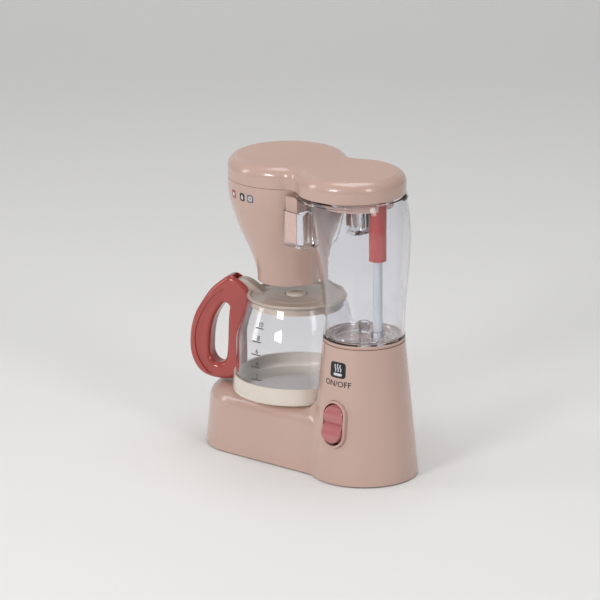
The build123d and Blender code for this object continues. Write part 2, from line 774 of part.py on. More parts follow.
with BuildPart() as top_cover:
    with BuildSketch(Plane.XY.offset(cover_z)):
        add(cover_outline(0))
    extrude(amount=cover_h)
    fillet(top_cover.faces().sort_by(Axis.Z)[-1].edges(), cover_round)
    add(cover_space.part, mode=Mode.SUBTRACT)
    # ring that keeps the cover in the tank's mouth
    with Locations((tower_x - plug_shift, 0, cover_z + cover_h - wall)):
        Cylinder(plug_r, cover_z + cover_h - wall - plug_foot_z, align=down)
        Cylinder(
            plug_r - thin_wall, cover_z + cover_h - wall - plug_foot_z, align=down,
            mode=Mode.SUBTRACT,
        )
    # ways through the ring for the pipe and its sleeve
    with Locations((tower_x, 0, pipe_z)):
        Cylinder(
            pipe_r + seat_gap, 2 * plug_r, rotation=(0, -90, 0), align=up, mode=Mode.SUBTRACT
        )
    with Locations((riser_x, 0, pipe_z + pipe_r)):
        Cylinder(
            sleeve_r + 2 * seat_gap, pipe_z - plug_foot_z + 2 * pipe_r, align=down,
            mode=Mode.SUBTRACT,
        )
finish(top_cover, "top_cover")


# ---------------------------------------------------------------- brew head
def head_form(inset, foot_z):
    """Tulip form of the brew head moved in by inset, from foot_z up."""
    with BuildPart() as form:
        with BuildSketch(Plane.XZ):
            with BuildLine():
                side = Spline(
                    (head_foot_r - inset, foot_z),
                    (head_low_r - inset, head_low_z),
                    (head_mid_r - inset, head_mid_z),
                    (head_high_r - inset, head_high_z),
                    (head_r - inset, head_top_z),
                    tangents=[(0, 1), (0, 1)],
                )
                Polyline(side @ 1, (0, head_top_z), (0, foot_z), side @ 0)
            make_face()
        revolve(axis=Axis.Z)
    return form.part.moved(Location((head_x, 0, 0)))


with BuildPart() as brew_head:
    add(head_form(0, head_foot_z))
    # lugs that drop into the tank's pockets, each on an arm from the bowl
    for side in (-1, 1):
        with Locations((lug_x, side * lug_y, tank_rim_z - flange_t - 2 * seat_gap)):
            Box(lug_w, lug_t, lug_h, align=down)
        with Locations((lug_x, side * (lug_y + lug_t / 2), tank_rim_z - flange_t - 2 * seat_gap)):
            Box(
                lug_w, lug_t + lug_arm, pocket_drop - flange_t - 3 * seat_gap,
                align=(Align.CENTER, Align.MIN if side < 0 else Align.MAX, Align.MAX),
            )
    add(head_form(head_wall, head_foot_z + head_wall), mode=Mode.SUBTRACT)
    with Locations((head_x, 0, head_foot_z)):
        Cylinder(nozzle_r + seat_gap, 3 * head_wall, mode=Mode.SUBTRACT)
finish(brew_head, "brew_head")

with BuildPart() as drip_nozzle:
    with Locations((head_x, 0, head_foot_z + head_wall + seat_gap)):
        Cylinder(nozzle_flange_r, 1.2, align=up)
    with Locations((head_x, 0, head_foot_z - nozzle_drop)):
        Cylinder(nozzle_r, head_wall + nozzle_drop + 2, align=up)
        Cylinder(nozzle_r - thin_wall, 3 * head_wall + nozzle_drop, align=up, mode=Mode.SUBTRACT)
    fillet(drip_nozzle.edges().group_by(Axis.Z)[0], 0.6)
finish(drip_nozzle, "drip_nozzle")

# ---------------------------------------------------------------- carafe
def glass_form(grow):
    """Outside form of the carafe's glass, moved out by grow."""
    with BuildPart() as form:
        with BuildSketch(Plane.XZ):
            with BuildLine():
                bottom = Line((0, glass_z - grow), (glass_r - glass_corner_r, glass_z - grow))
                corner = RadiusArc(
                    bottom @ 1, (glass_r + grow, glass_z + glass_corner_r),
                    -glass_corner_r - grow,
                )
                side = Line(corner @ 1, (glass_r + grow, shoulder_z))
                shoulder = Spline(
                    side @ 1, (glass_r - shoulder_in + grow, shoulder_z + shoulder_rise),
                    (neck_r + grow, glass_top_z - 1.2), tangents=[(0, 1), (-0.4, 0.9)],
                )
                lip = Line(shoulder @ 1, (neck_r + grow, glass_top_z))
                Polyline(lip @ 1, (0, glass_top_z), bottom @ 0)
            make_face()
        revolve(axis=Axis.Z)
    return form.part.moved(Location((carafe_x, 0, 0)))


def base_form(grow):
    """Outside form of the carafe's base, moved out by grow."""
    foot_r = base_r + base_flare + grow
    with BuildPart() as form:
        with BuildSketch(Plane.XZ):
            with BuildLine():
                bottom = Line((0, carafe_z - grow), (foot_r - base_corner_r, carafe_z - grow))
                corner = RadiusArc(
                    bottom @ 1, (foot_r, carafe_z + base_corner_r - grow), -base_corner_r
                )
                Polyline(
                    corner @ 1,
                    (foot_r, carafe_z + base_step_h),
                    (foot_r - base_flare / 2, carafe_z + base_step_h + base_flare / 2),
                    (base_r + grow, carafe_z + base_h + grow),
                    (0, carafe_z + base_h + grow),
                    bottom @ 0,
                )
            make_face()
        revolve(axis=Axis.Z)
    return form.part.moved(Location((carafe_x, 0, 0)))


with BuildPart() as carafe_glass:
    add(glass_form(0))
    offset(amount=-glass_wall, openings=carafe_glass.faces().sort_by(Axis.Z)[-1])
finish(carafe_glass, "carafe_glass")

with BuildPart() as carafe_base:
    add(base_form(0))
    add(glass_form(seat_gap), mode=Mode.SUBTRACT)
finish(carafe_base, "carafe_base")

# handle seen from the side: x out from the carafe axis, y up from the floor
foot_y = deck_z + handle_foot_h
peak_y = glass_top_z + handle_peak_h
handle_loop = [
    (glass_r - 4.0, foot_y + 9.0),
    (glass_r - 4.0, shoulder_z),
    (neck_r + 2.4, glass_top_z - 17.5),
    (neck_r - 2.2, glass_top_z - 7.5),
    (neck_r - 1.4, glass_top_z + 0.5),
    (hinge_s - 2.8, hinge_z + 5.2),
    (hinge_s + 2.6, peak_y - 1.9),
    (hinge_s + 7.4, peak_y),
    (handle_reach - 25.4, peak_y - 4.2),
    (handle_reach - 17.9, peak_y - 10.6),
    (handle_reach - 11.1, peak_y - 19.8),
    (handle_reach - 5.2, grip_z + 21.0),
    (handle_reach - 1.6, grip_z + 11.0),
    (handle_reach, grip_z),
    (handle_reach - 0.6, grip_z - 11.5),
    (handle_reach - 3.4, grip_z - 19.0),
    (handle_reach - 8.4, foot_y + 4.0),
    (handle_reach - 15.2, foot_y + 0.9),
    (handle_reach - 23.4, foot_y),
    (glass_r + 4.0, foot_y + 1.4),
]
bar_x = glass_r + bar_t
hole_x = handle_reach - grip_w
finger_loop = [
    (bar_x - 1.6, grip_z + 26.0),
    (bar_x - 0.7, grip_z + 19.0),
    (bar_x, grip_z + 4.0),
    (bar_x + 0.8, grip_z - 8.0),
    (bar_x + 3.4, grip_z - 15.4),
    (bar_x + 8.0, grip_z - 17.2),
    (hole_x - 1.4, grip_z - 13.6),
    (hole_x, grip_z - 4.5),
    (hole_x - 0.9, grip_z + 6.5),
    (hole_x - 3.8, grip_z + 17.5),
    (hole_x - 8.4, grip_z + 25.6),
    (bar_x + 1.2, grip_z + 29.4),
]
grip_line = [
    (hinge_s + 13.6, peak_y - 12.2),
    (handle_reach - 19.4, peak_y - 19.4),
    (handle_reach - 11.2, grip_z + 17.0),
    (handle_reach - 7.6, grip_z + 5.0),
    (handle_reach - 7.6, grip_z - 8.0),
    (handle_reach - 11.0, grip_z - 16.5),
    (handle_reach - 19.0, grip_z - 22.6),
]


def shifted(points, distance):
    """The points moved away from the middle of the finger hole by distance."""
    middle = Vector((bar_x + hole_x) / 2, grip_z + 4)
    return [Vector(*p) + (Vector(*p) - middle).normalized() * distance for p in points]


with BuildPart() as carafe_handle:
    with BuildSketch(handle_plane):
        with BuildLine():
            Spline(*handle_loop, periodic=True)
        make_face()
        with BuildLine():
            Spline(*finger_loop, periodic=True)
        make_face(mode=Mode.SUBTRACT)
    extrude(amount=handle_w / 2, both=True)
    fillet(carafe_handle.faces().filter_by(GeomType.PLANE).edges(), handle_round)
    # hollow along each side of the grip
    for side in (-1, 1):
        with BuildSketch(handle_plane.offset(side * handle_w / 2)):
            with BuildLine():
                outward = shifted(grip_line, channel_w / 2)
                inward = shifted(grip_line, -channel_w / 2)
                Spline(*outward, *reversed(inward), periodic=True)
            make_face()
        extrude(amount=-side * channel_depth, mode=Mode.SUBTRACT)
    # seat against the glass and the base, room for the lid's rim
    add(glass_form(seat_gap), mode=Mode.SUBTRACT)
    add(base_form(seat_gap), mode=Mode.SUBTRACT)
    with Locations((carafe_x, 0, glass_top_z)):
        Cylinder(lid_r + 3 * seat_gap, handle_peak_h, align=up, mode=Mode.SUBTRACT)
    # slot for the lid's hinge and thumb tab
    with BuildSketch(handle_plane):
        with Locations((tab_end + 4 * seat_gap, hinge_z - knuckle_r - 2 * seat_gap)):
            Rectangle(20, 30, align=(Align.MAX, Align.MIN))
    extrude(amount=tab_w / 2 + seat_gap, both=True, mode=Mode.SUBTRACT)
    with BuildSketch(handle_plane):
        with Locations((hinge_s, hinge_z)):
            Circle(pin_r + running_gap)
    extrude(amount=handle_w / 2 - 0.8, both=True, mode=Mode.SUBTRACT)
finish(carafe_handle, "carafe_handle")

with BuildPart() as lid_pin:
    with BuildSketch(handle_plane):
        with Locations((hinge_s, hinge_z)):
            Circle(pin_r)
    extrude(amount=handle_w / 2 - 1.1, both=True)
finish(lid_pin, "lid_pin")

# ---------------------------------------------------------------- carafe lid
lid_top_z = lid_z + lid_rim_h
plate_under_z = lid_top_z - 1.2 - lid_plate_t
well_z = lid_top_z - button_well
button_z = well_z + button_travel + seat_gap
guide_foot_z = well_z - lid_plate_t - 3.0
skirt_r = neck_r - glass_wall - 0.8

with BuildPart() as lid_disc:
    with BuildSketch(Plane.XZ):
        with BuildLine():
            Polyline(
                (0, plate_under_z),
                (skirt_r - thin_wall, plate_under_z),
                (skirt_r - thin_wall, lid_z - lid_skirt_h),
                (skirt_r, lid_z - lid_skirt_h),
                (skirt_r, lid_z),
                (lid_r - 0.4, lid_z),
                (lid_r, lid_z + 0.4),
                (lid_r, lid_top_z - 0.7),
                (lid_r - 0.7, lid_top_z),
                (lid_r - 2.0, lid_top_z),
                (lid_r - 3.6, lid_top_z - 1.2),
                (lid_r - 11.0, lid_top_z - 1.0),
                (lid_r - 13.6, lid_top_z - 0.2),
                (0, lid_top_z - 0.2),
                close=True,
            )
        make_face()
    revolve(axis=Axis.Z)
    # well for the button, with a guide for its stem
    with Locations((0, 0, well_z - lid_plate_t)):
        Cylinder(button_r + 0.5 + thin_wall, button_well, align=up)
    with Locations((0, 0, well_z)):
        Cylinder(button_r + 0.5, 10, align=up, mode=Mode.SUBTRACT)
    with Locations((0, 0, guide_foot_z)):
        Cylinder(button_stem_r + 2, well_z - guide_foot_z, align=up)
        Cylinder(button_stem_r + running_gap, 10, align=up, mode=Mode.SUBTRACT)

with BuildPart() as thumb_tab:
    # side view: from the lid up to the tab's end, and down to the hinge
    tab_top_z = lid_top_z + tab_rise
    with BuildSketch(handle_plane):
        with BuildLine():
            top = Spline(
                (neck_r - 11.5, lid_top_z - 0.6), (neck_r - 3.5, lid_top_z + 4.4),
                (hinge_s - 1.0, tab_top_z), (tab_end - 1.6, tab_top_z - 1.0),
                tangents=[(1, 0.4), (1, -0.5)],
            )
            Polyline(
                top @ 1, (tab_end, tab_top_z - 2.6), (tab_end - 0.8, tab_top_z - 4.6),
                (hinge_s + knuckle_r, hinge_z + 0.5), (hinge_s, hinge_z - knuckle_r / 2),
                (hinge_s - knuckle_r, hinge_z - 0.3), (lid_r - 0.6, lid_z + 0.5),
                (neck_r - 8.5, plate_under_z + 0.4), top @ 0,
            )
        make_face()
        with Locations((hinge_s, hinge_z)):
            Circle(knuckle_r)
    extrude(amount=tab_w / 2, both=True)
    fillet(thumb_tab.edges().filter_by(GeomType.BSPLINE), 1.2)
    with BuildSketch(Plane(origin=(carafe_x, 0, lid_z - lid_skirt_h), x_dir=handle_dir)):
        with Locations((tab_end / 2, 0)):
            SlotOverall(tab_end, tab_w)
    extrude(amount=20, mode=Mode.INTERSECT)

with BuildPart() as carafe_lid:
    add(lid_disc.part.moved(Location((carafe_x, 0, 0))))
    add(thumb_tab.part)
    with BuildSketch(handle_plane):
        with Locations((hinge_s, hinge_z)):
            Circle(pin_r + running_gap)
    extrude(amount=tab_w, both=True, mode=Mode.SUBTRACT)
finish(carafe_lid, "carafe_lid")

with BuildPart() as lid_button:
    # domed cap on a stem with a catch
    with Locations((carafe_x, 0, button_z)):
        Cylinder(button_r, button_h, align=up)
    fillet(lid_button.edges().group_by(Axis.Z)[-1], button_h - 0.8)
    with Locations((carafe_x, 0, guide_foot_z - 1.6)):
        Cylinder(button_stem_r, button_z - guide_foot_z + 1.8, align=up)
        Cylinder(button_stem_r + 1.4, 1.3, align=up)
finish(lid_button, "lid_button")
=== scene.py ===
import bmesh
import bpy
import math
from mathutils import Matrix, Vector
from mathutils.bvhtree import BVHTree


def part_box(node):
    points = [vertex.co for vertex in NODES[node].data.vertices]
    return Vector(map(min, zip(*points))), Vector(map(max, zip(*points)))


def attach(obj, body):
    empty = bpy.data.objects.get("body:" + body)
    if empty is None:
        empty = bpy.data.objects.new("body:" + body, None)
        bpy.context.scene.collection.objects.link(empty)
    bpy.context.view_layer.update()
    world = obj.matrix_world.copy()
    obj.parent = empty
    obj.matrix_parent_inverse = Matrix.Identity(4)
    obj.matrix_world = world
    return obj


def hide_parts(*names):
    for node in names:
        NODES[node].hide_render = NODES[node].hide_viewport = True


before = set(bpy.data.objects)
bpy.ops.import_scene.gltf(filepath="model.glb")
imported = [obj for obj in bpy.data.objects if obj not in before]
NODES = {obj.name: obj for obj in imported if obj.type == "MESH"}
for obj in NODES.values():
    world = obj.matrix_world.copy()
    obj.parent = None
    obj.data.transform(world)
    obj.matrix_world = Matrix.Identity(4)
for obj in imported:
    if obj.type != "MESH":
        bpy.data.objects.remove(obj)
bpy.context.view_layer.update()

MM = 0.001


# ---------------------------------------------------------------- places read from the frame
def middle(node):
    low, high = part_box(node)
    return (low + high) / 2


CARAFE = middle("carafe_glass")
TOWER = middle("tank_seal")
HEAD = middle("drip_nozzle")


# ---------------------------------------------------------------- colours and shader nodes
def linear(rgb):
    """Linear values of a colour given as 0-255 display values."""
    out = []
    for c in rgb:
        c = c / 255
        out.append(c / 12.92 if c <= 0.04045 else ((c + 0.055) / 1.055) ** 2.4)
    return (*out, 1.0)


def shade(rgb, factor):
    """The colour made darker or lighter by a factor."""
    return tuple(min(255, c * factor) for c in rgb)


class Tree:
    """A material's node tree with short calls for the nodes that repeat."""

    def __init__(self, name):
        self.material = bpy.data.materials.new(name)
        self.material.use_nodes = True
        self.nodes = self.material.node_tree.nodes
        self.links = self.material.node_tree.links
        self.bsdf = self.nodes["Principled BSDF"]
        self.coords = self.nodes.new("ShaderNodeTexCoord").outputs["Object"]

    def noise(self, scale, detail=2.0, rough=0.5, stretch=None):
        """Noise in object space, where stretch below 1 draws it out along an axis."""
        source = self.coords
        if stretch:
            mapping = self.nodes.new("ShaderNodeMapping")
            mapping.inputs["Scale"].default_value = stretch
            self.links.new(source, mapping.inputs["Vector"])
            source = mapping.outputs["Vector"]
        n = self.nodes.new("ShaderNodeTexNoise")
        n.inputs["Scale"].default_value = scale
        n.inputs["Detail"].default_value = detail
        n.inputs["Roughness"].default_value = rough
        self.links.new(source, n.inputs["Vector"])
        return n.outputs["Fac"]

    def spread(self, value, low, high, start=0.3, stop=0.7):
        """Takes value from the range start to stop into the range low to high."""
        m = self.nodes.new("ShaderNodeMapRange")
        m.inputs["From Min"].default_value = start
        m.inputs["From Max"].default_value = stop
        m.inputs["To Min"].default_value = low
        m.inputs["To Max"].default_value = high
        self.links.new(value, m.inputs["Value"])
        return m.outputs["Result"]

    def calc(self, operation, *values):
        """A math node on sockets and plain numbers."""
        m = self.nodes.new("ShaderNodeMath")
        m.operation = operation
        for value, socket in zip(values, m.inputs):
            if hasattr(value, "links"):
                self.links.new(value, socket)
            else:
                socket.default_value = value
        return m.outputs[0]

    def part(self, vector, axis):
        """One component of a vector."""
        split = self.nodes.new("ShaderNodeSeparateXYZ")
        self.links.new(vector, split.inputs[0])
        return split.outputs[axis]

    def bump(self, height, strength, distance, normal=None):
        """Bumped normal, on top of another one where it is given."""
        b = self.nodes.new("ShaderNodeBump")
        b.inputs["Strength"].default_value = strength
        b.inputs["Distance"].default_value = distance
        self.links.new(height, b.inputs["Height"])
        if normal is not None:
            self.links.new(normal, b.inputs["Normal"])
        return b.outputs["Normal"]

    def colour(self, fac, first, second):
        """Base colour that runs from the first colour to the second with fac."""
        m = self.nodes.new("ShaderNodeMix")
        m.data_type = "RGBA"
        a, b = m.inputs[6], m.inputs[7]
        a.default_value = linear(first)
        b.default_value = linear(second)
        self.links.new(fac, m.inputs["Factor"])
        self.to(m.outputs[2], "Base Color")

    def to(self, output, socket):
        self.links.new(output, self.bsdf.inputs[socket])


# ---------------------------------------------------------------- kinds of material
LEVEL = {"start": 0.97, "stop": 0.999}      # height part of the normal where a face counts as level
SATIN = 0.3                                 # roughness that a level face gains


def plastic(name, rgb, rough=0.24, coat=0.5, grain=0.05, mottle=0.012, satin_top=False):
    """Moulded plastic: faint flow mottling, fine orange peel and uneven gloss.

    With satin_top, faces that lie level are satin and the rest is as glossy as without.
    """
    t = Tree(name)
    flow = t.noise(14, 1, 0.4, stretch=(1, 1, 0.5))
    t.colour(t.spread(flow, 0, 1), shade(rgb, 1 - mottle), shade(rgb, 1 + mottle))
    gloss = t.spread(t.noise(30, 1), rough - 0.02, rough + 0.03)
    peel = t.bump(t.noise(900, 2), grain, 0.0002)
    t.to(t.bump(t.noise(55, 0), grain, 0.0006, peel), "Normal")
    t.bsdf.inputs["Coat Weight"].default_value = coat
    if satin_top:
        upward = t.part(t.nodes.new("ShaderNodeNewGeometry").outputs["Normal"], "Z")
        gloss = t.calc("MULTIPLY_ADD", t.spread(upward, 0, 1, **LEVEL), SATIN, gloss)
        t.to(t.spread(upward, coat, 0, **LEVEL), "Coat Weight")
    t.to(gloss, "Roughness")
    t.bsdf.inputs["Coat Roughness"].default_value = 0.06
    t.bsdf.inputs["IOR"].default_value = 1.5
    return t.material


SHADOW = 0.15       # share of a lamp's light that a clear wall stops


def clear(name, rgb, rough=0.03, wave=0.05):
    """Clear styrene: a faint tint, flow waves and tiny scuffs. Lamps shine through it."""
    t = Tree(name)
    flow = t.noise(20, 2, 0.5, stretch=(1, 1, 0.35))
    t.colour(t.spread(flow, 0, 1), rgb, shade(rgb, 1.02))
    scuff = t.noise(240, 5, 0.7)
    t.to(t.spread(scuff, rough, rough + 0.09, 0.52, 0.8), "Roughness")
    t.to(t.bump(t.noise(70, 1, 0.4, stretch=(1, 1, 0.5)), wave, 0.0006), "Normal")
    path = t.nodes.new("ShaderNodeLightPath")
    t.to(t.spread(path.outputs["Is Shadow Ray"], 1.0, SHADOW, 0, 1), "Alpha")
    t.bsdf.inputs["Transmission Weight"].default_value = 1.0
    t.bsdf.inputs["IOR"].default_value = 1.4
    return t.material


def metal(name, rgb, rough=0.3):
    """Plated metal with a fine brushed grain."""
    t = Tree(name)
    grain = t.noise(260, 3, 0.6, stretch=(1, 1, 12))
    t.colour(t.spread(grain, 0, 1), shade(rgb, 0.9), shade(rgb, 1.06))
    t.to(t.spread(grain, rough - 0.06, rough + 0.1), "Roughness")
    t.to(t.bump(grain, 0.08, 0.0002), "Normal")
    t.bsdf.inputs["Metallic"].default_value = 1.0
    return t.material


def rubber(name, rgb):
    """Dull rubber with lighter specks."""
    t = Tree(name)
    t.colour(t.noise(120, 4), rgb, shade(rgb, 1.35))
    t.to(t.spread(t.noise(80, 3), 0.6, 0.85), "Roughness")
    t.to(t.bump(t.noise(700, 3), 0.25, 0.0003), "Normal")
    return t.material


def ink(name, rgb, rough=0.4):
    """Screen print: fine pinholes and a soft sheen."""
    t = Tree(name)
    t.colour(t.spread(t.noise(1500, 3), 0, 1, 0.4, 0.62), shade(rgb, 0.9), rgb)
    t.to(t.spread(t.noise(300, 2), rough - 0.06, rough + 0.08), "Roughness")
    t.to(t.bump(t.noise(2200, 2), 0.1, 0.0001), "Normal")
    return t.material


BAND = {"start": 0.0165, "stop": 0.0168}    # distance from the cell's middle where its band starts


def cell_sleeve(name):
    """Battery sleeve: dark label with a copper band at the ends."""
    t = Tree(name)
    off_middle = t.calc("ABSOLUTE", t.calc("SUBTRACT", t.part(t.coords, "X"), CARAFE.x))
    t.colour(t.spread(off_middle, 0, 1, **BAND), (38, 41, 48), (176, 118, 72))
    t.to(t.spread(t.noise(60, 3), 0.22, 0.36), "Roughness")
    t.bsdf.inputs["Metallic"].default_value = 0.7
    return t.material


def paint(name, rgb):
    """Matt wall paint for the floor and backdrop."""
    t = Tree(name)
    t.colour(t.noise(3, 3), rgb, shade(rgb, 1.01))
    t.bsdf.inputs["Roughness"].default_value = 0.75
    return t.material


# ---------------------------------------------------------------- dressing of the CAD nodes
PINK = (199, 167, 154)
MAT = {
    "pink": plastic("pink_gloss", PINK),
    "cover": plastic("cover_gloss", PINK, satin_top=True),
    "pink_satin": plastic("pink_satin", shade(PINK, 0.95), rough=0.45, coat=0.0, grain=0.15),
    "red": plastic("red_gloss", (172, 70, 64), rough=0.22),
    "rose": plastic("rose_gloss", (184, 108, 108), rough=0.16, coat=0.8),
    "bezel": plastic("bezel_gloss", (197, 160, 149), rough=0.18, coat=0.8),
    "lid": plastic("lid_gloss", (196, 179, 165)),
    "cream": plastic("cream_gloss", (224, 213, 200), rough=0.22),
    "white": plastic("white_satin", (222, 218, 210), rough=0.4, coat=0.0),
    "black": plastic("black_satin", (26, 26, 28), rough=0.45, coat=0.0, grain=0.15),
    "tank": clear("tank_clear", (247, 247, 250), wave=0.08),
    "carafe": clear("carafe_clear", (248, 248, 250), wave=0.04),
    "tube": plastic("tube_frosted", (190, 194, 199), rough=0.35, coat=0.2),
    "pipe": clear("pipe_clear", (236, 238, 242), rough=0.12),
    "steel": metal("zinc_steel", (186, 186, 188)),
    "nickel": metal("nickel", (196, 192, 182), rough=0.26),
    "rubber": rubber("foot_rubber", (30, 28, 28)),
    "seal": rubber("seal_rubber", (190, 188, 180)),
    "wire": plastic("wire_sleeve", (158, 36, 32), rough=0.38, coat=0.0),
    "cell": cell_sleeve("cell_sleeve"),
}
INK = {
    "dark": ink("ink_dark", (62, 52, 52)),
    "black": ink("ink_black", (22, 22, 26), rough=0.28),
    "grey": ink("ink_grey", (120, 118, 122), rough=0.3),
    "red": ink("ink_red", (176, 92, 84), rough=0.3),
    "pale": ink("ink_pale", (222, 222, 228), rough=0.35),
}
DRESS = {
    "pink": ["body_shell", "pump_deck", "brew_head"],
    "cover": ["top_cover"],
    "pink_satin": ["base_plate", "battery_door"],
    "red": ["tube_sleeve", "carafe_handle"],
    "rose": ["switch_rocker"],
    "bezel": ["switch_bezel"],
    "lid": ["carafe_lid"],
    "cream": ["carafe_base", "lid_button"],
    "white": ["pump_housing", "impeller", "drip_nozzle"],
    "black": ["switch_body"],
    "tank": ["tank"],
    "carafe": ["carafe_glass"],
    "tube": ["riser_tube"],
    "pipe": ["water_pipe"],
    "steel": ["base_screws", "door_screw", "lid_pin"],
    "nickel": ["battery_contacts", "pump_motor"],
    "rubber": ["rubber_feet"],
    "seal": ["tank_seal"],
    "wire": ["lead_wires"],
    "cell": ["batteries"],
}
for key, nodes in DRESS.items():
    for node in nodes:
        mesh = NODES[node].data
        mesh.materials.clear()
        mesh.materials.append(MAT[key])


# ---------------------------------------------------------------- objects from bmeshes
def new_object(name, bm, material, sharp=None):
    """Smooth-shaded object, where edges that bend past the angle sharp stay crisp."""
    bmesh.ops.recalc_face_normals(bm, faces=bm.faces[:])
    for f in bm.faces:
        f.smooth = True
    if sharp is not None:
        for e in bm.edges:
            e.smooth = len(e.link_faces) != 2 or e.calc_face_angle() < sharp
    mesh = bpy.data.meshes.new(name)
    bm.to_mesh(mesh)
    bm.free()
    mesh.materials.append(material)
    obj = bpy.data.objects.new(name, mesh)
    bpy.context.scene.collection.objects.link(obj)
    return obj


# ---------------------------------------------------------------- domed button in the lid
CAP_DEPTH = 2.4         # the CAD button's cap, in mm
CAP_EDGE = 1.0          # straight edge under the dome
DOME_HEIGHT = 4.6       # from the cap's foot to the top of the dome
STEM_RADIUS = 2.5
CATCH_RADIUS = 3.9
CATCH_DEPTH = 1.3
DOME_STEPS = 12


def lathe(profile, axis, steps=72):
    """A turned solid from (radius, z) points in mm, first and last on the axis."""
    bm = bmesh.new()
    rings = []
    for r, z in profile:
        count = steps if r > 0 else 1
        ring = []
        for i in range(count):
            a = 2 * math.pi * i / steps
            place = (axis.x + r * MM * math.cos(a), axis.y + r * MM * math.sin(a), z * MM)
            ring.append(bm.verts.new(place))
        rings.append(ring)
    for a, b in zip(rings, rings[1:]):
        for i in range(steps):
            j = (i + 1) % steps
            corners = [a[i % len(a)], a[j % len(a)], b[j % len(b)], b[i % len(b)]]
            bm.faces.new(list(dict.fromkeys(corners)))
    return bm


def button_cap():
    """Domed cap on the CAD button's stem and catch."""
    low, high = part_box("lid_button")
    radius = (high.x - low.x) / MM / 2
    foot = low.z / MM
    cap_foot = high.z / MM - CAP_DEPTH
    edge = cap_foot + CAP_EDGE
    profile = [(0, cap_foot + DOME_HEIGHT)]
    for i in range(1, DOME_STEPS):
        a = math.radians(90 * i / DOME_STEPS)
        rise = (DOME_HEIGHT - CAP_EDGE) * math.cos(a) ** 0.8
        profile.append((radius * math.sin(a) ** 0.9, edge + rise))
    profile += [
        (radius, edge),
        (radius, cap_foot),
        (STEM_RADIUS, cap_foot),
        (STEM_RADIUS, foot + CATCH_DEPTH),
        (CATCH_RADIUS, foot + CATCH_DEPTH),
        (CATCH_RADIUS, foot),
        (0, foot),
    ]
    obj = new_object("button_cap", lathe(profile, CARAFE), MAT["cream"], sharp=math.radians(28))
    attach(obj, "button")
    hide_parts("lid_button")


button_cap()


# ---------------------------------------------------------------- flat artwork, in mm
FINE = 1.2 * MM         # longest edge of a print's mesh, so that it bends with its wall


def rounded_rect(w, h, r, steps=6):
    """Outline of a rectangle with round corners, centred."""
    points = []
    for cx, cy, a0 in ((w / 2 - r, h / 2 - r, 0), (r - w / 2, h / 2 - r, 90),
                       (r - w / 2, r - h / 2, 180), (w / 2 - r, r - h / 2, 270)):
        for i in range(steps + 1):
            a = math.radians(a0 + 90 * i / steps)
            points.append((cx + r * math.cos(a), cy + r * math.sin(a)))
    return points


def disc(r, steps=28):
    """Outline of a circle."""
    turns = [2 * math.pi * i / steps for i in range(steps)]
    return [(r * math.cos(a), r * math.sin(a)) for a in turns]


def wave(x, low, high, swing, steps=14):
    """A path that rises from low to high and swings once to each side of x."""
    share = [i / steps for i in range(steps + 1)]
    return [(x + swing * math.sin(2 * math.pi * s), low + (high - low) * s) for s in share]


def stroke(path, width):
    """Outline of a line of even width along a path."""
    left, right = [], []
    for i, (x, y) in enumerate(path):
        x0, y0 = path[max(0, i - 1)]
        x1, y1 = path[min(len(path) - 1, i + 1)]
        d = math.hypot(x1 - x0, y1 - y0)
        nx, ny = -(y1 - y0) / d * width / 2, (x1 - x0) / d * width / 2
        left.append((x + nx, y + ny))
        right.append((x - nx, y - ny))
    return left + right[::-1]


def shifted(outline, dx, dy):
    """The outline moved across and up."""
    return [(x + dx, y + dy) for x, y in outline]


def refine(bm, longest):
    """Splits edges until none is longer than longest."""
    for _ in range(6):
        long_edges = [e for e in bm.edges if e.calc_length() > longest]
        if not long_edges:
            break
        bmesh.ops.subdivide_edges(bm, edges=long_edges, cuts=1, use_grid_fill=False)
        bmesh.ops.triangulate(bm, faces=bm.faces[:])


def raised(bm, thickness):
    """Gives flat faces a thickness in mm."""
    made = bmesh.ops.extrude_face_region(bm, geom=bm.faces[:])
    for g in made["geom"]:
        if isinstance(g, bmesh.types.BMVert):
            g.co.z += thickness * MM


def filled(outline, thickness):
    """A plate with the outline's shape."""
    bm = bmesh.new()
    bm.faces.new([bm.verts.new((x * MM, y * MM, 0)) for x, y in outline])
    bmesh.ops.triangulate(bm, faces=bm.faces[:])
    refine(bm, FINE)
    raised(bm, thickness)
    return bm


def ring(outer, inner, thickness):
    """A flat ring from two radii."""
    bm = bmesh.new()
    loops = [[bm.verts.new((x * MM, y * MM, 0)) for x, y in disc(r)] for r in (outer, inner)]
    steps = len(loops[0])
    for i in range(steps):
        j = (i + 1) % steps
        bm.faces.new((loops[0][i], loops[0][j], loops[1][j], loops[1][i]))
    raised(bm, thickness)
    return bm


CAPITAL = 0.69          # height of a capital as a share of the built-in font's size
WEIGHT = 0.06 * MM      # how much thicker than the font the letters are


def lettering(words, height, thickness, widen=1.0):
    """Words as a plate with the given height of capitals, centred."""
    curve = bpy.data.curves.new("letters", "FONT")
    curve.body = words
    curve.align_x = "CENTER"
    curve.size = height * MM / CAPITAL
    curve.offset = WEIGHT
    curve.resolution_u = 4
    obj = bpy.data.objects.new("letters", curve)
    bpy.context.scene.collection.objects.link(obj)
    bpy.context.view_layer.update()
    drawn = obj.evaluated_get(bpy.context.evaluated_depsgraph_get())
    mesh = bpy.data.meshes.new_from_object(drawn)
    bpy.data.objects.remove(obj)
    bm = bmesh.new()
    bm.from_mesh(mesh)
    bmesh.ops.remove_doubles(bm, verts=bm.verts[:], dist=1e-7)
    bmesh.ops.triangulate(bm, faces=bm.faces[:])
    xs = [v.co.x for v in bm.verts]
    ys = [v.co.y for v in bm.verts]
    centre = Vector(((min(xs) + max(xs)) / 2, (min(ys) + max(ys)) / 2, 0))
    for v in bm.verts:
        v.co -= centre
        v.co.x *= widen
    refine(bm, FINE)
    raised(bm, thickness)
    return bm


